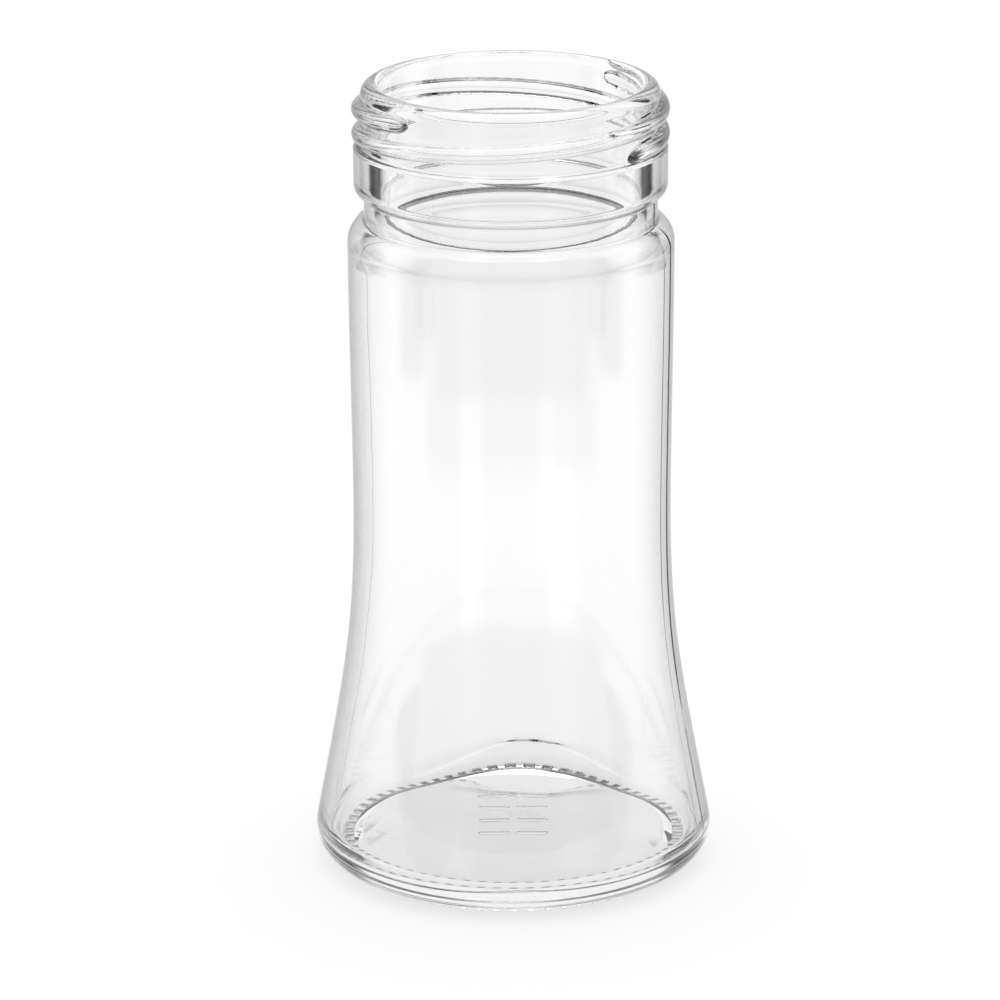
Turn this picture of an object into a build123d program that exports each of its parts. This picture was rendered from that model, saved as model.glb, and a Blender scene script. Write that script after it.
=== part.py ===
from build123d import *

import os
from math import acos, cos, degrees, hypot, radians, sin, sqrt

# Clear glass spice jar: a waisted body on a flared base, under a wide screw mouth.
# The jar is one piece of moulded glass. It stands on the XY plane with its axis on Z,
# and the middle of its base is the origin.

# Height of each stretch, from the lip down, and the height of the waist
jar_height = 108.6
mouth_length = 8.3
collar_length = 6.9
neck_length = 3.2
waist_height = 58.0

# Radii, each stepped from the one before it
bore_radius = 17.4
mouth_wall = 2.55
neck_inset = 0.35
collar_step = 1.0
shoulder_step = 2.25
waist_draw = 0.3

# Inside of the jar
bore_length = 15.0
shoulder_wall = 1.5
waist_wall = 1.5
heel_wall = 1.5
floor_thickness = 4.6
inner_shoulder_drop = 8.0
inner_heel_round = 1.5

# Roundings
lip_outer_round = 1.7
collar_top_round = 0.5
collar_bottom_round = 1.7
shoulder_round = 3.1
neck_fillet = 0.4
heel_round = 4.4

# Two-start right-hand screw thread on the mouth
thread_starts = 2
thread_lead = 6.7
thread_turn = 268.0
thread_first_angle = -40.0
thread_drop = 2.6
thread_height = 1.2
thread_section_radius = 1.1

# Underside: a raised, dished panel inside the ring of knurl bars that the jar stands on
seat_inner_radius = 22.0
ring_width = 0.7
panel_inset = 1.3
panel_step = 0.5
dish_depth = 0.3
knurl_bars = 64
knurl_bar_length = 1.4
knurl_bar_width = 1.0
knurl_bar_height = 0.3

# Plain mould marks that stand out of the dished panel, in rows a little behind its middle
mark_columns = 2
mark_rows = 4
mark_length = 4.2
mark_width = 0.7
mark_height = 0.25
mark_pitch = 5.2
mark_row_pitch = 4.8
mark_set_back = 4.0

# Shape of the flare between the heel and the waist
heel_lean = 11.0
flare_height_shares = (0.26, 0.53)
flare_radius_shares = (0.525, 0.135)

mouth_radius = bore_radius + mouth_wall
neck_radius = mouth_radius - neck_inset
collar_radius = mouth_radius + collar_step
shoulder_radius = neck_radius + shoulder_step
waist_radius = shoulder_radius - waist_draw
heel_centre_radius = seat_inner_radius + ring_width
collar_top = jar_height - mouth_length
collar_bottom = collar_top - collar_length
shoulder_height = collar_bottom - neck_length
ground = knurl_bar_height
heel_top_radius = heel_centre_radius + heel_round * cos(radians(heel_lean))
heel_top_height = ground + heel_round + heel_round * sin(radians(heel_lean))
up_the_flare = (-sin(radians(heel_lean)), cos(radians(heel_lean)))
down_the_flare = (sin(radians(heel_lean)), -cos(radians(heel_lean)))
shoulder_start = shoulder_height - shoulder_round
shoulder_arc_radius = shoulder_radius - shoulder_round
shoulder_turn = degrees(acos((neck_radius - shoulder_arc_radius) / shoulder_round))
corner_arc_radius = collar_radius - collar_bottom_round
corner_turn = degrees(acos((neck_radius - corner_arc_radius) / collar_bottom_round))
floor_height = ground + floor_thickness
inner_heel_height = floor_height + inner_heel_round
inner_heel_centre = heel_top_radius - (
    heel_wall + inner_heel_round + (inner_heel_height - heel_top_height) * sin(radians(heel_lean))
) / cos(radians(heel_lean))
crest_radius = mouth_radius - lip_outer_round
lip_inner_round = mouth_wall - lip_outer_round
bore_top = jar_height - lip_inner_round
bore_bottom = bore_top - bore_length
inner_shoulder_middle = bore_bottom - inner_shoulder_drop / 2
thread_centre_radius = mouth_radius + thread_height - thread_section_radius
thread_climb = thread_lead * thread_turn / 360
thread_first_height = jar_height - thread_drop - thread_climb
knurl_ring_radius = seat_inner_radius + knurl_bar_length / 2
panel_radius = seat_inner_radius - panel_inset
dish_radius = (panel_radius**2 + dish_depth**2) / (2 * dish_depth)


def flare(height_share, radius_share, wall=0):
    """Point on the flare, between the heel's top and the waist."""
    height = heel_top_height + height_share * (waist_height - heel_top_height)
    radius = waist_radius + radius_share * (heel_top_radius - waist_radius)
    return (radius - wall, height)


def dish_height(radius):
    """Height of the dished panel at a distance from the axis."""
    return ground + panel_step + dish_depth - dish_radius + sqrt(dish_radius**2 - radius**2)


with BuildPart() as glass_jar:
    with BuildSketch(Plane.XZ) as section:
        with BuildLine():
            # Underside, from the axis to the ring
            dish = ThreePointArc(
                (0, dish_height(0)),
                (panel_radius / 2, dish_height(panel_radius / 2)),
                (panel_radius, dish_height(panel_radius)),
            )
            slope = Line(dish @ 1, (seat_inner_radius, ground))
            ring = Line(slope @ 1, (heel_centre_radius, ground))
            heel = CenterArc(
                (heel_centre_radius, ground + heel_round), heel_round, -90, 90 + heel_lean
            )
            body = Spline(
                heel @ 1,
                *(flare(h, r) for h, r in zip(flare_height_shares, flare_radius_shares)),
                (waist_radius, waist_height),
                (shoulder_radius, shoulder_start),
                tangents=(up_the_flare, (0, 1)),
            )
            shoulder = CenterArc(
                (shoulder_arc_radius, shoulder_start), shoulder_round, 0, shoulder_turn
            )
            # Neck groove and collar
            low_corner = CenterArc(
                (corner_arc_radius, collar_bottom + collar_bottom_round),
                collar_bottom_round, -corner_turn, corner_turn,
            )
            groove = Line(shoulder @ 1, low_corner @ 0)
            collar = Line(low_corner @ 1, (collar_radius, collar_top - collar_top_round))
            high_corner = CenterArc(
                (collar_radius - collar_top_round, collar_top - collar_top_round),
                collar_top_round, 0, 90,
            )
            ledge = Line(high_corner @ 1, (mouth_radius, collar_top))
            mouth = Line(ledge @ 1, (mouth_radius, jar_height - lip_outer_round))
            lip = CenterArc((crest_radius, jar_height - lip_outer_round), lip_outer_round, 0, 90)
            # Inside, from the lip down to the floor
            inner_lip = CenterArc((crest_radius, bore_top), lip_inner_round, 90, 90)
            bore = Line(inner_lip @ 1, (bore_radius, bore_bottom))
            inner_shoulder = Bezier(
                bore @ 1,
                (bore_radius, inner_shoulder_middle),
                (shoulder_radius - shoulder_wall, inner_shoulder_middle),
                (shoulder_radius - shoulder_wall, bore_bottom - inner_shoulder_drop),
            )
            inner_heel = CenterArc(
                (inner_heel_centre, inner_heel_height),
                inner_heel_round, heel_lean, -90 - heel_lean,
            )
            Spline(
                inner_shoulder @ 1,
                (waist_radius - waist_wall, waist_height),
                *(
                    flare(h, r, heel_wall)
                    for h, r in zip(reversed(flare_height_shares), reversed(flare_radius_shares))
                ),
                inner_heel @ 0,
                tangents=((0, -1), down_the_flare),
            )
            floor = Line(inner_heel @ 1, (0, floor_height))
            Line(floor @ 1, dish @ 0)
        make_face()
        neck_corners = section.vertices().filter_by(lambda v: v == groove @ 0 or v == groove @ 1)
        fillet(neck_corners, neck_fillet)
    revolve(axis=Axis.Z)
    # Two ridges wind up the mouth, each with round ends
    for start in range(thread_starts):
        first_angle = thread_first_angle + start * 360 / thread_starts
        foot = Plane.XY.offset(thread_first_height).rotated((0, 0, first_angle))
        with BuildLine(foot) as ridge:
            Helix(thread_lead, thread_climb, thread_centre_radius)
        ridge_start = Plane(origin=ridge.line @ 0, z_dir=ridge.line % 0)
        with BuildSketch(ridge_start):
            Circle(thread_section_radius)
        sweep(path=ridge.line, is_frenet=True)
        with Locations(ridge.line @ 0, ridge.line @ 1):
            Sphere(thread_section_radius)
    # Knurl bars under the ring and the start of the heel
    with BuildSketch(Plane.XY):
        with PolarLocations(knurl_ring_radius, knurl_bars):
            SlotOverall(knurl_bar_length, knurl_bar_width)
    extrude(amount=ground + knurl_bar_height)
    # Mould marks, each as proud of the panel as the others
    for mark in GridLocations(mark_pitch, mark_row_pitch, mark_columns, mark_rows):
        mark_x = mark.position.X
        mark_y = mark.position.Y + mark_set_back
        with BuildSketch(Plane.XY.offset(dish_height(hypot(mark_x, mark_y)) - mark_height)):
            with Locations((mark_x, mark_y)):
                SlotOverall(mark_length, mark_width)
        extrude(amount=mark_height + floor_thickness / 2)

glass_jar.part.label = "glass_jar"
os.makedirs("parts", exist_ok=True)
export_step(glass_jar.part, "parts/glass_jar.step")
print(glass_jar.part.volume, glass_jar.part.bounding_box())
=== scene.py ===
from math import atan2, ceil, cos, degrees, hypot, pi, radians, sin, sqrt

import bpy
import numpy as np
from mathutils import Matrix, Vector


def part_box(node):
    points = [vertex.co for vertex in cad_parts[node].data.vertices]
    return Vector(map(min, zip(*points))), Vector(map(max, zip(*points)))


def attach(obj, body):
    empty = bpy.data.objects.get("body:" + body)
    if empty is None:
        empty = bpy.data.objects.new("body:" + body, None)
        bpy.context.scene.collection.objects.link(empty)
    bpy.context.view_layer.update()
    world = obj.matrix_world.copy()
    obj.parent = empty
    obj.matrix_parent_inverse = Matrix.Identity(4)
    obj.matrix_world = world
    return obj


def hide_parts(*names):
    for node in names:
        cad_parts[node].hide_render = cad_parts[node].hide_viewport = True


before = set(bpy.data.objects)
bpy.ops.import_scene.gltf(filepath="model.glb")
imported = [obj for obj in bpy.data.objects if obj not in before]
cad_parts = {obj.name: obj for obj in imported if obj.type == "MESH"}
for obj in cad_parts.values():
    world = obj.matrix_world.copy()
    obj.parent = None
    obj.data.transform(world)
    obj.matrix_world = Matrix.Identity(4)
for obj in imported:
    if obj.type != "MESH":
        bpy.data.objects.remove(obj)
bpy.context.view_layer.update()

# Clear glass spice jar on a white studio floor.
# The jar's sizes are in millimetres, the studio's in metres.
mm = 0.001

jarLow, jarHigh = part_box("glass_jar")
jarTop = (jarHigh[2] - jarLow[2]) / mm
heelReach = (jarHigh[0] - jarLow[0]) / 2 / mm


# The view of the photograph, from a little above the mouth
camera = {
    "distance": 0.68453, "height": 0.26636,
    "lookDown": 17.50, "roll": -0.23,
    "focalPixels": 5300, "framePixels": 1000, "shiftPixels": 12.03,
    "sensor": 36, "clipStart": 0.01,
}

def addCamera():
    eye = bpy.data.cameras.new("photoCamera")
    eye.sensor_width = camera["sensor"]
    eye.lens = camera["sensor"] * camera["focalPixels"] / camera["framePixels"]
    eye.shift_x = -camera["shiftPixels"] / camera["framePixels"]
    eye.clip_start = camera["clipStart"]
    holder = bpy.data.objects.new("photoCamera", eye)
    bpy.context.collection.objects.link(holder)
    holder.matrix_world = (
        Matrix.Translation((0, -camera["distance"], camera["height"]))
        @ Matrix.Rotation(radians(90 - camera["lookDown"]), 4, "X")
        @ Matrix.Rotation(radians(camera["roll"]), 4, "Z")
    )
    bpy.context.scene.camera = holder

addCamera()
print("camera placed")


# Everything about the jar's shape. Heights go up from the floor.
jar = {
    # height of each stretch, from the lip down
    "mouthLength": 8.3, "collarLength": 6.9, "neckLength": 3.2, "waistHeight": 58.0,
    # radii, each from the one before it
    "boreRadius": 17.4, "mouthWall": 2.55, "neckInset": 0.35, "collarStep": 1.0,
    "shoulderStep": 2.25, "waistDraw": 0.3,
    # rounded corners
    "lipRound": 1.7, "collarTopRound": 0.5, "collarLowRound": 1.7,
    "shoulderRound": 3.1, "heelRound": 4.4, "neckFillet": 0.4, "ledgeFillet": 0.25,
    # inside
    "boreLength": 15.0, "innerShoulderDrop": 8.0, "innerHeelRound": 1.5, "floorThickness": 4.6,
    "shoulderWall": 1.5, "waistWall": 1.5, "heelWall": 1.5,
    # flare between heel and waist
    "heelLean": 11.0, "flareHeights": (0.26, 0.53), "flareRadii": (0.525, 0.135),
    # underside: a dished panel, raised inside the ring that the jar stands on
    "seatRadius": 22.0, "panelInset": 1.3, "panelStep": 0.5, "dishDepth": 0.3,
    # mesh: points round the jar, longest steps along the outline, and the shortest one
    "columns": 960, "leastStep": 0.02,
    "steps": {"fillet": 0.05, "fine": 0.1, "round": 0.2, "collar": 0.3, "straight": 0.45, "body": 0.675},
    # radius of the fans that close both middles, angle on the heel where the bars are past,
    # and how much longer the inner shoulder is than its chord
    "fanRadius": 0.4, "barsPast": -75, "overChord": 1.3,
}

thread = {
    "starts": 2, "lead": 6.7, "turn": 268, "firstAngle": -40,
    "drop": 2.6, "halfWidth": 1.1, "height": 1.2,
    "endTurn": 8, "leastEnd": 0.01, "blend": 0.25,
}

knurl = {"bars": 64, "length": 1.4, "width": 1.0, "height": 0.3, "soft": 0.22}

# marks: the last number is how much painted shade lies on their flanks
marks = {
    "columns": 2, "rows": 4, "length": 4.2, "width": 0.7, "height": 0.25,
    "pitch": 5.2, "rowPitch": 4.8, "back": 4.0, "soft": 0.3, "paintedShade": 1.0,
}

# The seams that the two halves of the mould leave on the outside
seam = {"angles": (-15, 165), "height": 0.1, "width": 0.5}

# Unevenness of the blown inside. A wave is its share, its count round the jar, how it leans
# with height, and where it starts.
ripple = {
    "wall": 0.02, "floor": 0.05,
    "waves": ((0.45, 2, 0.09, 0.7), (0.3, 3, -0.13, 2.1), (0.15, 7, 0.31, 4.0), (0.1, 11, -0.47, 0)),
    "shoulder": 0.004, "reach": 2.0,
    "crinkles": ((0.5, 37, 1.9, 0), (0.3, 61, -2.7, 1.3), (0.2, 97, 4.1, 0.4)),
    "slump": 1.8, "slumpReach": 7, "slumpTop": 84, "slumpCount": 4, "frontSag": 1.0,
}

mouthRadius = jar["boreRadius"] + jar["mouthWall"]
neckRadius = mouthRadius - jar["neckInset"]
collarRadius = mouthRadius + jar["collarStep"]
shoulderRadius = neckRadius + jar["shoulderStep"]
waistRadius = shoulderRadius - jar["waistDraw"]
heelCentre = heelReach - jar["heelRound"]
collarTop = jarTop - jar["mouthLength"]
collarLow = collarTop - jar["collarLength"]
shoulderTop = collarLow - jar["neckLength"]
panelRadius = jar["seatRadius"] - jar["panelInset"]
ground = knurl["height"]
floorTop = ground + jar["floorThickness"]
lipInner = jar["mouthWall"] - jar["lipRound"]
boreTop = jarTop - lipInner
boreEnd = boreTop - jar["boreLength"]

def arc(centre, radius, start, end, step):
    # points of an arc in the outline's plane, angles in degrees
    count = max(3, ceil(abs(radians(end - start)) * radius / step))
    turn = np.radians(np.linspace(start, end, count + 1))
    return np.column_stack([centre[0] + radius * np.cos(turn), centre[1] + radius * np.sin(turn)])

def straight(start, end, step):
    count = max(1, ceil(hypot(end[0] - start[0], end[1] - start[1]) / step))
    along = np.linspace(0, 1, count + 1)[:, None]
    return np.array(start) * (1 - along) + np.array(end) * along

def bezier(handles, step):
    a, b, c, d = (np.array(handle, float) for handle in handles)
    count = ceil(np.linalg.norm(d - a) * jar["overChord"] / step)
    t = np.linspace(0, 1, count + 1)[:, None]
    return (1 - t)**3 * a + 3 * t * (1 - t)**2 * b + 3 * t**2 * (1 - t) * c + t**3 * d

def flowing(points, startDirection, endDirection, step):
    # smooth cubic through the points, with its two end directions held
    knots = np.array(points, float)
    spans = np.linalg.norm(np.diff(knots, axis=0), axis=1)
    system = np.eye(len(knots))
    sides = np.zeros_like(knots)
    sides[0] = np.array(startDirection) / hypot(*startDirection)
    sides[-1] = np.array(endDirection) / hypot(*endDirection)
    for i in range(1, len(knots) - 1):
        before, after = spans[i - 1], spans[i]
        system[i, i - 1:i + 2] = after, 2 * (before + after), before
        rise, nextRise = knots[i] - knots[i - 1], knots[i + 1] - knots[i]
        sides[i] = 3 * (after * rise / before + before * nextRise / after)
    slopes = np.linalg.solve(system, sides)
    pieces = []
    for i, span in enumerate(spans):
        t = np.linspace(0, 1, max(2, ceil(span / step)) + 1)[:, None]
        pieces.append(
            (2 * t**3 - 3 * t**2 + 1) * knots[i] + (t**3 - 2 * t**2 + t) * span * slopes[i]
            + (3 * t**2 - 2 * t**3) * knots[i + 1] + (t**3 - t**2) * span * slopes[i + 1]
        )
    return np.vstack(pieces)

def groove(centre, radius, side):
    # where the neck meets a rounded shoulder (side 1) or collar corner (side -1)
    reach = neckRadius + jar["neckFillet"] - centre[0]
    rise = side * sqrt((radius + jar["neckFillet"])**2 - reach**2)
    return (neckRadius + jar["neckFillet"], centre[1] + rise), degrees(atan2(rise, reach))

def dishHeight(radius):
    sphere = (panelRadius**2 + jar["dishDepth"]**2) / (2 * jar["dishDepth"])
    return ground + jar["panelStep"] + jar["dishDepth"] - sphere + np.sqrt(sphere**2 - radius**2)

def outerOutline(heelTop, flare):
    # from the middle of the underside, out, up and over the lip
    step = jar["steps"]
    lean = radians(jar["heelLean"])
    heelMiddle = (heelCentre, ground + jar["heelRound"])
    shoulderCentre = (shoulderRadius - jar["shoulderRound"], shoulderTop - jar["shoulderRound"])
    cornerCentre = (collarRadius - jar["collarLowRound"], collarLow + jar["collarLowRound"])
    lowGroove, shoulderTurn = groove(shoulderCentre, jar["shoulderRound"], 1)
    highGroove, cornerTurn = groove(cornerCentre, jar["collarLowRound"], -1)
    topRound, fillet = jar["collarTopRound"], jar["ledgeFillet"]
    lipCentre = (mouthRadius - jar["lipRound"], jarTop - jar["lipRound"])
    dishSteps = np.linspace(jar["fanRadius"], panelRadius, ceil(panelRadius / step["round"]))
    seat, panelEdge = (jar["seatRadius"], ground), (panelRadius, dishHeight(panelRadius))
    return [
        ("dish", np.column_stack([dishSteps, dishHeight(dishSteps)])),
        ("slope", straight(panelEdge, seat, step["fine"])),
        ("ring", straight(seat, (heelCentre, ground), step["fine"])),
        ("heel", arc(heelMiddle, jar["heelRound"], -90, jar["barsPast"], step["fine"])),
        ("heel", arc(heelMiddle, jar["heelRound"], jar["barsPast"], jar["heelLean"], step["round"])),
        ("body", flowing(
            [heelTop, *flare(0), (waistRadius, jar["waistHeight"]), (shoulderRadius, shoulderCentre[1])],
            (-sin(lean), cos(lean)), (0, 1), step["body"])),
        ("shoulder", arc(shoulderCentre, jar["shoulderRound"], 0, shoulderTurn, step["fine"])),
        ("neck", arc(lowGroove, jar["neckFillet"], shoulderTurn + 180, 180, step["fillet"])),
        ("neck", straight((neckRadius, lowGroove[1]), (neckRadius, highGroove[1]), step["fine"])),
        ("neck", arc(highGroove, jar["neckFillet"], 180, cornerTurn + 180, step["fillet"])),
        ("collar", arc(cornerCentre, jar["collarLowRound"], cornerTurn, 0, step["fine"])),
        ("collar", straight((collarRadius, cornerCentre[1]),
                            (collarRadius, collarTop - topRound), step["collar"])),
        ("mouth", arc((collarRadius - topRound, collarTop - topRound), topRound, 0, 90, step["fillet"])),
        ("mouth", arc((mouthRadius + fillet, collarTop + fillet), fillet, 270, 180, step["fillet"])),
        ("mouth", straight((mouthRadius, collarTop + fillet),
                           (mouthRadius, lipCentre[1]), step["fine"])),
        ("mouth", arc(lipCentre, jar["lipRound"], 0, 90, step["fine"])),
        ("lip", arc((lipCentre[0], boreTop), lipInner, 90, 180, step["fine"])),
    ]

def innerOutline(heelTop, flare):
    # from the lip down inside and over the floor to its middle
    step = jar["steps"]
    lean = radians(jar["heelLean"])
    wallRadius = shoulderRadius - jar["shoulderWall"]
    wallTop = (wallRadius, boreEnd - jar["innerShoulderDrop"])
    middle = boreEnd - jar["innerShoulderDrop"] / 2
    innerRound = jar["innerHeelRound"]
    innerUp = floorTop + innerRound
    innerCentre = heelTop[0] - (
        jar["heelWall"] + innerRound + (innerUp - heelTop[1]) * sin(lean)
    ) / cos(lean)
    wallEnd = (innerCentre + innerRound * cos(lean), innerUp + innerRound * sin(lean))
    return [
        ("bore", straight((jar["boreRadius"], boreTop), (jar["boreRadius"], boreEnd), step["straight"])),
        ("innerShoulder", bezier(
            [(jar["boreRadius"], boreEnd), (jar["boreRadius"], middle), (wallRadius, middle), wallTop],
            step["round"])),
        ("wall", flowing(
            [wallTop, (waistRadius - jar["waistWall"], jar["waistHeight"]),
             *reversed(flare(jar["heelWall"])), wallEnd],
            (0, -1), (sin(lean), -cos(lean)), step["body"])),
        ("innerHeel", arc((innerCentre, innerUp), innerRound, jar["heelLean"], -90, step["round"])),
        ("floor", straight((innerCentre, floorTop), (jar["fanRadius"], floorTop), step["straight"])),
    ]

def jarOutline():
    # the whole half section, as named stretches of points
    lean = radians(jar["heelLean"])
    heelTop = (
        heelCentre + jar["heelRound"] * cos(lean),
        ground + jar["heelRound"] * (1 + sin(lean)),
    )
    flareRise = jar["waistHeight"] - heelTop[1]
    flareOut = heelTop[0] - waistRadius

    def flare(wall):
        return [
            (waistRadius + out * flareOut - wall, heelTop[1] + up * flareRise)
            for up, out in zip(jar["flareHeights"], jar["flareRadii"])
        ]

    return outerOutline(heelTop, flare) + innerOutline(heelTop, flare)

def softMax(a, b, width):
    share = np.clip(0.5 + 0.5 * (b - a) / width, 0, 1)
    return a * (1 - share) + b * share + width * share * (1 - share)

def threadReach(angle, height):
    # how far out the two ridges stand at an angle in degrees and a height, zero between them
    section = thread["halfWidth"]
    sectionCentre = mouthRadius + thread["height"] - section
    climb = thread["lead"] / 360
    firstHeight = jarTop - thread["drop"] - thread["turn"] * climb
    reach = np.zeros_like(angle)
    for start in range(thread["starts"]):
        along = np.mod(angle - thread["firstAngle"] - start * 360 / thread["starts"], 360)
        ends = np.clip(np.minimum(along, thread["turn"] - along) / thread["endTurn"], 0, 1)
        full = np.sqrt(1 - (1 - ends)**2)
        off = (height - firstHeight - along * climb) / section / np.maximum(full, thread["leastEnd"])
        ridge = sectionCentre + section * np.sqrt(np.clip(1 - off**2, 0, 1)) - mouthRadius
        here = (np.abs(off) < 1) & (ends > 0)
        reach = np.maximum(reach, np.where(here, mouthRadius + ridge * full, 0))
    return reach

def onBars(angle, radius):
    # one on the bars that the jar stands on, zero between them
    along = np.abs(radius - jar["seatRadius"] - knurl["length"] / 2)
    pitch = 360 / knurl["bars"]
    across = np.abs(np.mod(angle + pitch / 2, pitch) - pitch / 2) * pi / 180 * radius
    edge = np.maximum(along - knurl["length"] / 2, across - knurl["width"] / 2)
    return np.clip(0.5 - edge / knurl["soft"], 0, 1)

def onMarks(x, y):
    # one on the plain bars moulded under the panel, in rows a little behind its middle
    drop = np.zeros_like(x)
    for column in range(marks["columns"]):
        for row in range(marks["rows"]):
            middleX = (column - (marks["columns"] - 1) / 2) * marks["pitch"]
            middleY = marks["back"] + (row - (marks["rows"] - 1) / 2) * marks["rowPitch"]
            along = np.maximum(np.abs(x - middleX) - (marks["length"] - marks["width"]) / 2, 0)
            edge = np.hypot(along, y - middleY) - marks["width"] / 2
            share = np.clip(0.5 - edge / marks["soft"], 0, 1)
            drop = np.maximum(drop, share * share * (3 - 2 * share))
    return drop

def onSeam(angle, radius):
    # one on the crest of a seam, zero away from it
    rise = np.zeros_like(angle)
    for side in seam["angles"]:
        aside = np.abs(np.mod(angle - side + 180, 360) - 180) * pi / 180 * radius
        rise = np.maximum(rise, np.clip(1 - (2 * aside / seam["width"])**2, 0, 1))
    return rise

def waves(table, angle, height):
    # the sum of a table's waves round and along the inside, between about -1 and 1
    turn = np.radians(angle)
    return sum(
        share * np.sin(count * turn + lean * height + start)
        for share, count, lean, start in table
    )

def slump(angle, nearFloor):
    # how the thick floor rises and sags round its rim, most at the back
    turn = np.radians(angle - ripple["slumpTop"])
    toBack = (0.5 + 0.5 * np.cos(turn))**2
    rise = ripple["slump"] * toBack * np.cos(ripple["slumpCount"] * turn)
    return nearFloor * (rise - ripple["frontSag"] * (1 - toBack))

def shaped(part, radius, height, angle, partStart):
    # radii, heights and painted shade of the ring of points at one point of the outline
    turn = np.radians(angle)
    radii, heights = np.full_like(angle, radius), np.full_like(angle, height)
    dark = np.zeros_like(angle)
    if part == "mouth":
        reach = threadReach(angle, heights)
        radii = np.where(reach > 0, softMax(radii, reach, thread["blend"]), radii)
    if part in ("body", "shoulder", "neck"):
        radii = radii + seam["height"] * onSeam(angle, radius)
    if part in ("ring", "heel"):
        # the bars; their feet also carry a painted contact shadow, black where they touch the floor
        dark = onBars(angle, radius)
        heights = heights - (height - ground + knurl["height"]) * dark
    if part == "dish":
        mark = onMarks(radius * np.cos(turn), radius * np.sin(turn))
        heights = heights - marks["height"] * mark
        # painted shade on the flanks of the marks
        dark = marks["paintedShade"] * 4 * mark * (1 - mark)
    if part in ("wall", "bore", "innerHeel", "innerShoulder"):
        radii = radii + ripple["wall"] * waves(ripple["waves"], angle, height)
    if part in ("wall", "innerHeel"):
        above = (height - floorTop) / ripple["slumpReach"]
        heights = heights + slump(angle, max(0, 1 - above)**2)
    if part == "innerShoulder":
        drawnIn = boreEnd - ripple["reach"] / 2
        near = max(0, 1 - abs(height - drawnIn) / ripple["reach"])
        radii = radii + ripple["shoulder"] * near * waves(ripple["crinkles"], angle, height)
    if part == "floor":
        fade = radius / partStart
        wavy = ripple["floor"] * fade * waves(ripple["waves"], angle, 2 * radius)
        heights = heights + wavy + slump(angle, fade**2)
    return radii, heights, dark

def jarPoints():
    # rows of points round the jar, one for each point of the outline
    angle = np.arange(jar["columns"]) * 360 / jar["columns"]
    east, north = np.cos(np.radians(angle)), np.sin(np.radians(angle))
    rows, outside, paintedShade = [], [], []
    last = (0, 0)
    for part, points in jarOutline():
        for radius, height in points:
            if hypot(radius - last[0], height - last[1]) < jar["leastStep"]:
                continue
            last = (radius, height)
            radii, heights, dark = shaped(part, radius, height, angle, points[0][0])
            rows.append(np.column_stack([radii * east, radii * north, heights]))
            outside.append(float(part in ("body", "shoulder", "neck", "collar", "mouth")))
            paintedShade.append(dark)
    return np.array(rows), outside, paintedShade

def glassMesh():
    rows, outside, paintedShade = jarPoints()
    count, columns = rows.shape[:2]
    under = [0, 0, rows[0, :, 2].mean()]
    inside = [0, 0, rows[-1, :, 2].mean()]
    points = np.vstack([rows.reshape(-1, 3), [under, inside]]) * mm
    grid = np.arange(count * columns).reshape(count, columns)
    nextColumn = np.roll(grid, -1, 1)
    quads = np.stack([grid[:-1], nextColumn[:-1], nextColumn[1:], grid[1:]], -1).reshape(-1, 4)
    underFan = np.column_stack([nextColumn[0], grid[0], np.full(columns, count * columns)])
    insideFan = np.column_stack([grid[-1], nextColumn[-1], np.full(columns, count * columns + 1)])
    fans = np.vstack([underFan, insideFan])
    mesh = bpy.data.meshes.new("glassJar")
    mesh.vertices.add(len(points))
    mesh.vertices.foreach_set("co", points.ravel())
    mesh.loops.add(quads.size + fans.size)
    mesh.loops.foreach_set("vertex_index", np.concatenate([quads.ravel(), fans.ravel()]))
    starts = np.concatenate([np.arange(len(quads)) * 4, quads.size + np.arange(len(fans)) * 3])
    mesh.polygons.add(len(starts))
    mesh.polygons.foreach_set("loop_start", starts)
    mesh.update(calc_edges=True)
    mesh.validate()
    mesh.polygons.foreach_set("use_smooth", np.ones(len(starts), bool))
    # which faces are outside, and the painted shade, for the glass's material
    for name, values in (("outside", np.repeat(outside, columns)), ("paintedShade", np.ravel(paintedShade))):
        attribute = mesh.attributes.new(name, "FLOAT", "POINT")
        attribute.data.foreach_set("value", np.append(values, [0, 0]))
    print("glass mesh:", count, "rows,", len(points), "points")
    return mesh


def mathNode(tree, operation, first, second=None):
    node = tree.nodes.new("ShaderNodeMath")
    node.operation = operation
    for socket, value in zip(node.inputs, (first, second)):
        if isinstance(value, (int, float)):
            socket.default_value = value
        elif value is not None:
            tree.links.new(value, socket)
    return node.outputs[0]

def times(tree, product, *others):
    for value in others:
        product = mathNode(tree, "MULTIPLY", product, value)
    return product

def opposite(tree, share):
    return mathNode(tree, "SUBTRACT", 1.0, share)

def rampNode(tree, value, low, high):
    # smooth step from zero at low to one at high
    node = tree.nodes.new("ShaderNodeMapRange")
    node.interpolation_type = "SMOOTHSTEP"
    tree.links.new(value, node.inputs["Value"])
    node.inputs["From Min"].default_value = low
    node.inputs["From Max"].default_value = high
    return node.outputs["Result"]

def pastNode(tree, value, edge, soft):
    # zero before a soft edge, one past it
    return rampNode(tree, value, edge - soft, edge + soft)

def bandNode(tree, value, start, end, soft):
    # one between two soft edges, zero outside them
    ended = pastNode(tree, value, end, soft)
    return times(tree, pastNode(tree, value, start, soft), opposite(tree, ended))

def attributeNode(tree, name):
    node = tree.nodes.new("ShaderNodeAttribute")
    node.attribute_name = name
    return node.outputs["Fac"]

def mixShaders(tree, share, first, second):
    node = tree.nodes.new("ShaderNodeMixShader")
    for socket, value in zip(node.inputs, (share, first, second)):
        tree.links.new(value, socket)
    return node.outputs["Shader"]

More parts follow.
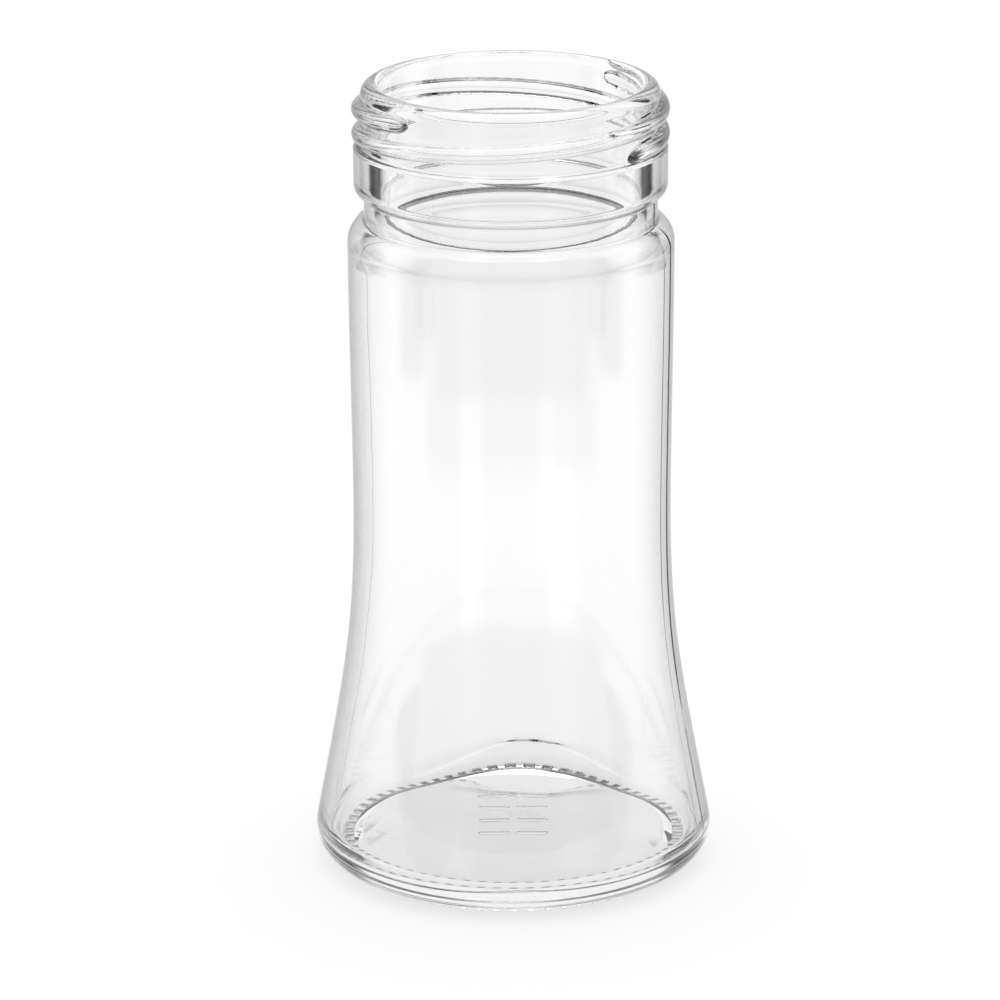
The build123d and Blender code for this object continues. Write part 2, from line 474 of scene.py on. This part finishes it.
# Clear soda glass: how much light it takes up, how dark its shadow is, and how dark the painted shade on
# its edges is
glass = {
    "colour": (0.972, 0.974, 0.973), "ior": 1.52, "roughness": 0.0,
    "tint": (0.48, 0.51, 0.50), "tintDensity": 3.0,
    "shadow": (0.94, 0.94, 0.94),
    # painted shade: the outside is painted towards the edge colour where it is seen edge on
    "paintedEdgeShade": (0.0, 0.0, 0.0), "edgeFrom": 0.35, "edgeTo": 0.92, "edgeBlend": 0.5,
    "peelScale": 260, "peelDetail": 1, "peelDepth": 0.000004,
}

def glassColourAndPaintedShade(tree):
    # painted shade: darker where the outside is seen edge on, with a painted contact shadow that makes
    # the bars that touch the floor black, and painted shade on the flanks of the marks
    weight = tree.nodes.new("ShaderNodeLayerWeight")
    weight.inputs["Blend"].default_value = glass["edgeBlend"]
    edge = rampNode(tree, weight.outputs["Facing"], glass["edgeFrom"], glass["edgeTo"])
    side = tree.nodes.new("ShaderNodeNewGeometry")
    entering = mathNode(tree, "SUBTRACT", attributeNode(tree, "outside"), side.outputs["Backfacing"])
    entering = mathNode(tree, "MAXIMUM", entering, 0.0)
    dark = mathNode(tree, "MAXIMUM", times(tree, edge, entering), attributeNode(tree, "paintedShade"))
    mix = tree.nodes.new("ShaderNodeMix")
    mix.data_type = "RGBA"
    mix.inputs["A"].default_value = (*glass["colour"], 1)
    mix.inputs["B"].default_value = (*glass["paintedEdgeShade"], 1)
    tree.links.new(dark, mix.inputs["Factor"])
    return mix.outputs["Result"]

def peelBump(tree):
    place = tree.nodes.new("ShaderNodeTexCoord")
    peel = tree.nodes.new("ShaderNodeTexNoise")
    peel.inputs["Scale"].default_value = glass["peelScale"]
    peel.inputs["Detail"].default_value = glass["peelDetail"]
    tree.links.new(place.outputs["Object"], peel.inputs["Vector"])
    bump = tree.nodes.new("ShaderNodeBump")
    bump.inputs["Distance"].default_value = glass["peelDepth"]
    tree.links.new(peel.outputs["Fac"], bump.inputs["Height"])
    return bump.outputs["Normal"]

def paleShadow(tree, surface):
    # a lamp's light passes through the jar and leaves a pale shadow
    path = tree.nodes.new("ShaderNodeLightPath")
    clear = tree.nodes.new("ShaderNodeBsdfTransparent")
    clear.inputs["Color"].default_value = (*glass["shadow"], 1)
    return mixShaders(tree, path.outputs["Is Shadow Ray"], surface, clear.outputs["BSDF"])

def clearGlass():
    material = bpy.data.materials.new("clearGlass")
    material.use_nodes = True
    tree = material.node_tree
    surface = tree.nodes["Principled BSDF"]
    surface.inputs["Base Color"].default_value = (*glass["colour"], 1)
    surface.inputs["IOR"].default_value = glass["ior"]
    surface.inputs["Roughness"].default_value = glass["roughness"]
    surface.inputs["Transmission Weight"].default_value = 1
    tree.links.new(glassColourAndPaintedShade(tree), surface.inputs["Base Color"])
    tree.links.new(peelBump(tree), surface.inputs["Normal"])
    body = tree.nodes.new("ShaderNodeVolumeAbsorption")
    body.inputs["Color"].default_value = (*glass["tint"], 1)
    body.inputs["Density"].default_value = glass["tintDensity"]
    output = tree.nodes["Material Output"]
    tree.links.new(paleShadow(tree, surface.outputs["BSDF"]), output.inputs["Surface"])
    tree.links.new(body.outputs["Volume"], output.inputs["Volume"])
    return material

def addJar():
    piece = bpy.data.objects.new("spiceJarGlass", glassMesh())
    bpy.context.collection.objects.link(piece)
    piece.data.materials.append(clearGlass())
    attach(piece, "root")
    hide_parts("glass_jar")

addJar()
print("jar made")


# White studio: a pale floor with painted shade and painted highlights that only the glass sees, a white
# surround, grey boards at both sides and one soft lamp.
# The angles of boards and room are in degrees aside, from straight behind the jar.
studio = {
    "floorSize": 8, "floorDrop": 0.00001, "floorColour": 0.82, "floorGlow": 0.6,
    # painted shade on the floor, that only the glass sees: from an angle to another, beyond a distance,
    # each with its share
    "paintedFloorShade": ((39, 66, 0.375, 1.0), (97, 118, 0.25, 1.0), (118, 190, 0.2, 0.7)),
    "floorSoft": 0.012,
    # boards that stand in the surround, up to a height in degrees, each with its share
    "boards": ((40, 66, 25, 1.0), (97, 118, 35, 1.0)), "boardSoft": 4, "boardAndPaintedShadeColour": 0.02,
    "surround": 1.0, "ambient": 0.25,
    "front": 0.2, "frontFrom": 100, "frontTo": 130,
    "roomSide": 85, "roomLow": 30, "roomShare": 1.0, "roomSoft": 8,
    # painted highlights: stretches of floor that glow brighter in reflections, in degrees from straight
    # before the jar
    "paintedHighlights": ((-35, -22), (25, 44)), "streakGlow": 0.6, "streakSoft": 4,
    "streakStart": 0.035, "streakEnd": 0.07,
    "lampSize": 0.9, "lampHeight": 1.2, "lampBack": 0.25, "lampPower": 5.0,
    "lampAim": (0, 0, 0), "bounces": 32,
}

def rayKinds(tree):
    # light that goes on to the lens straight, by a mirror or through glass, then all that
    # doesn't go straight to the lens, then mirrored light
    path = tree.nodes.new("ShaderNodeLightPath")
    lens, mirror = path.outputs["Is Camera Ray"], path.outputs["Is Glossy Ray"]
    seen = mathNode(tree, "MAXIMUM", lens, mirror)
    seen = mathNode(tree, "MAXIMUM", seen, path.outputs["Is Transmission Ray"])
    return seen, opposite(tree, lens), mirror

def turnNode(tree, x, y):
    # angle in degrees from the way of y towards that of x
    return times(tree, mathNode(tree, "ARCTAN2", x, y), 180 / pi)

def paintedFloorShade(tree, turn, away, notLens):
    # painted shade: dark patches on the floor, that only the glass sees
    aside = mathNode(tree, "ABSOLUTE", turn)
    paintedFloorGrey = 0.0
    for start, end, near, share in studio["paintedFloorShade"]:
        band = bandNode(tree, aside, start, end, studio["boardSoft"])
        beyond = pastNode(tree, away, near, studio["floorSoft"])
        paintedFloorGrey = mathNode(tree, "MAXIMUM", times(tree, band, beyond, notLens, share), paintedFloorGrey)
    return paintedFloorGrey

def paintedFloorHighlights(tree, turn, away, mirror):
    # painted highlights: stretches of floor that glow brighter, that only mirrors see
    clearOfJar = rampNode(tree, away, studio["streakStart"], studio["streakEnd"])
    total = 0.0
    for start, end in studio["paintedHighlights"]:
        band = bandNode(tree, turn, start, end, studio["streakSoft"])
        streak = times(tree, band, mirror, clearOfJar, studio["streakGlow"])
        total = mathNode(tree, "ADD", streak, total)
    return total

def floorMaterial():
    material = bpy.data.materials.new("whiteFloor")
    material.use_nodes = True
    tree = material.node_tree
    tree.nodes.clear()
    seen, notLens, mirror = rayKinds(tree)
    place = tree.nodes.new("ShaderNodeNewGeometry")
    split = tree.nodes.new("ShaderNodeSeparateXYZ")
    tree.links.new(place.outputs["Position"], split.inputs["Vector"])
    east, north = split.outputs["X"], split.outputs["Y"]
    length = tree.nodes.new("ShaderNodeVectorMath")
    length.operation = "LENGTH"
    tree.links.new(place.outputs["Position"], length.inputs[0])
    away = length.outputs["Value"]
    paintedFloorGrey = paintedFloorShade(tree, turnNode(tree, east, north), away, notLens)
    paintedHighlights = paintedFloorHighlights(tree, turnNode(tree, east, times(tree, north, -1.0)), away, mirror)
    # the floor's even glow, plus the painted highlights
    level = mathNode(tree, "ADD", times(tree, seen, studio["floorGlow"]), paintedHighlights)
    # white paper
    paper = tree.nodes.new("ShaderNodeBsdfDiffuse")
    paper.inputs["Color"].default_value = (*[studio["floorColour"]] * 3, 1)
    glow = tree.nodes.new("ShaderNodeEmission")
    tree.links.new(level, glow.inputs["Strength"])
    white = tree.nodes.new("ShaderNodeAddShader")
    tree.links.new(paper.outputs["BSDF"], white.inputs[0])
    tree.links.new(glow.outputs["Emission"], white.inputs[1])
    # painted shade: the dim glow of the dark patches on the floor
    paintedDark = tree.nodes.new("ShaderNodeEmission")
    paintedDark.inputs["Strength"].default_value = studio["boardAndPaintedShadeColour"]
    shown = mixShaders(tree, paintedFloorGrey, white.outputs["Shader"], paintedDark.outputs["Emission"])
    output = tree.nodes.new("ShaderNodeOutputMaterial")
    tree.links.new(shown, output.inputs["Surface"])
    return material

def addFloor():
    half = studio["floorSize"] / 2
    corners = [(x, y, 0) for x, y in ((-half, -half), (half, -half), (half, half), (-half, half))]
    mesh = bpy.data.meshes.new("whiteFloor")
    mesh.from_pydata(corners, [], [(0, 1, 2, 3)])
    mesh.materials.append(floorMaterial())
    floor = bpy.data.objects.new("whiteFloor", mesh)
    floor.location.z = -studio["floorDrop"]
    bpy.context.collection.objects.link(floor)

def surroundShown(tree, aside, up, notLens):
    # far less light from the side of the lens
    toFront = rampNode(tree, aside, studio["frontFrom"], studio["frontTo"])
    less = times(tree, toFront, studio["surround"] - studio["front"])
    shown = mathNode(tree, "SUBTRACT", studio["surround"], less)
    # grey boards at both sides, that only the glass sees
    soft = studio["boardSoft"]
    for start, end, top, share in studio["boards"]:
        band = bandNode(tree, aside, start, end, soft)
        under = opposite(tree, pastNode(tree, up, top, soft))
        dim = share * (studio["surround"] - studio["boardAndPaintedShadeColour"])
        shown = mathNode(tree, "SUBTRACT", shown, times(tree, band, under, notLens, dim))
    # the dark room over and behind the lens, which only the glass sees
    behindLens = pastNode(tree, aside, studio["roomSide"], studio["roomSoft"])
    overLens = pastNode(tree, up, studio["roomLow"], studio["roomSoft"])
    room = times(tree, behindLens, overLens, notLens, studio["roomShare"])
    return times(tree, shown, opposite(tree, room))

def addSurround():
    world = bpy.data.worlds.new("whiteSurround")
    bpy.context.scene.world = world
    world.use_nodes = True
    tree = world.node_tree
    seen, notLens, _ = rayKinds(tree)
    place = tree.nodes.new("ShaderNodeTexCoord")
    split = tree.nodes.new("ShaderNodeSeparateXYZ")
    tree.links.new(place.outputs["Generated"], split.inputs["Vector"])
    aside = mathNode(tree, "ABSOLUTE", turnNode(tree, split.outputs["X"], split.outputs["Y"]))
    up = times(tree, mathNode(tree, "ARCSINE", split.outputs["Z"]), 180 / pi)
    shown = times(tree, seen, surroundShown(tree, aside, up, notLens))
    unseen = times(tree, opposite(tree, seen), studio["ambient"])
    background = tree.nodes["Background"]
    background.inputs["Color"].default_value = (1, 1, 1, 1)
    tree.links.new(mathNode(tree, "ADD", shown, unseen), background.inputs["Strength"])

def addLamp():
    # over the jar, a little behind it
    lamp = bpy.data.lights.new("overheadLamp", "AREA")
    lamp.shape = "RECTANGLE"
    lamp.size = lamp.size_y = studio["lampSize"]
    lamp.energy = studio["lampPower"]
    holder = bpy.data.objects.new("overheadLamp", lamp)
    bpy.context.collection.objects.link(holder)
    holder.location = (0, studio["lampBack"], studio["lampHeight"])
    direction = Vector(studio["lampAim"]) - holder.location
    holder.rotation_euler = direction.to_track_quat("-Z", "Y").to_euler()

addFloor()
addSurround()
addLamp()

view = bpy.context.scene.view_settings
view.view_transform = "Standard"
cycles = bpy.context.scene.cycles
cycles.max_bounces = cycles.transmission_bounces = cycles.glossy_bounces = studio["bounces"]
cycles.caustics_reflective = cycles.caustics_refractive = False
print("studio lit")
